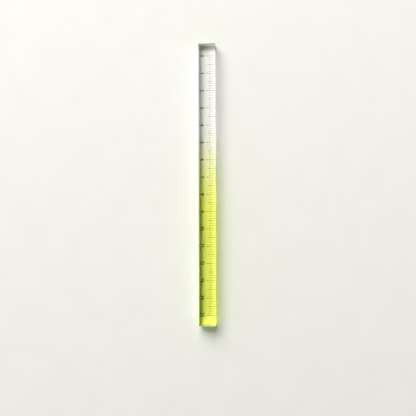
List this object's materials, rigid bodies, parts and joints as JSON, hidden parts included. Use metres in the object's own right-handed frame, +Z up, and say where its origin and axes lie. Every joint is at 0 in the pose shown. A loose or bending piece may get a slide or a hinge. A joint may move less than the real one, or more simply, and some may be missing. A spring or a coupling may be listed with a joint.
{
  "type": "acrylic straight ruler",
  "caption": "Narrow solid acrylic bar ruler, clear at the zero end and fading to fluorescent yellow, with a fine black centimetre and millimetre scale read down through the bar.",
  "frame": {"origin": "middle of the face that the ruler lies on, the side with the scale", "axes": "+X along the scale from 0 towards 15; +Y across the bar, towards the edge where the lines begin; +Z up, from the scale's side to the face that it is read through"},
  "size_m": [0.1618, 0.0098, 0.008],
  "materials": {
    "acrylic": "polished cast acrylic, clear at the zero end, its fluorescent yellow fading in from a third of the way along",
    "scale_ink": "dry black ink that fills fine marks in the underside"
  },
  "bodies": {
    "root": {"acrylic_bar": "acrylic", "centimetre_line_0": "scale_ink", "centimetre_line_1": "scale_ink", "centimetre_line_2": "scale_ink", "centimetre_line_3": "scale_ink", "centimetre_line_4": "scale_ink", "centimetre_line_5": "scale_ink", "centimetre_line_6": "scale_ink", "centimetre_line_7": "scale_ink", "centimetre_line_8": "scale_ink", "centimetre_line_9": "scale_ink", "centimetre_line_10": "scale_ink", "centimetre_line_11": "scale_ink", "centimetre_line_12": "scale_ink", "centimetre_line_13": "scale_ink", "centimetre_line_14": "scale_ink", "centimetre_line_15": "scale_ink", "half_line_after_0": "scale_ink", "half_line_after_1": "scale_ink", "half_line_after_2": "scale_ink", "half_line_after_3": "scale_ink", "half_line_after_4": "scale_ink", "half_line_after_5": "scale_ink", "half_line_after_6": "scale_ink", "half_line_after_7": "scale_ink", "half_line_after_8": "scale_ink", "half_line_after_9": "scale_ink", "half_line_after_10": "scale_ink", "half_line_after_11": "scale_ink", "half_line_after_12": "scale_ink", "half_line_after_13": "scale_ink", "half_line_after_14": "scale_ink", "numeral_0": "scale_ink", "numeral_1": "scale_ink", "numeral_2": "scale_ink", "numeral_3": "scale_ink", "numeral_4": "scale_ink", "numeral_5": "scale_ink", "numeral_6": "scale_ink", "numeral_7": "scale_ink", "numeral_8": "scale_ink", "numeral_9": "scale_ink", "numeral_10_tens": "scale_ink", "numeral_10_units": "scale_ink", "numeral_11_tens": "scale_ink", "numeral_11_units": "scale_ink", "numeral_12_tens": "scale_ink", "numeral_12_units": "scale_ink", "numeral_13_tens": "scale_ink", "numeral_13_units": "scale_ink", "numeral_14_tens": "scale_ink", "numeral_14_units": "scale_ink", "numeral_15_tens": "scale_ink", "numeral_15_units": "scale_ink"}
  },
  "joints": []
}
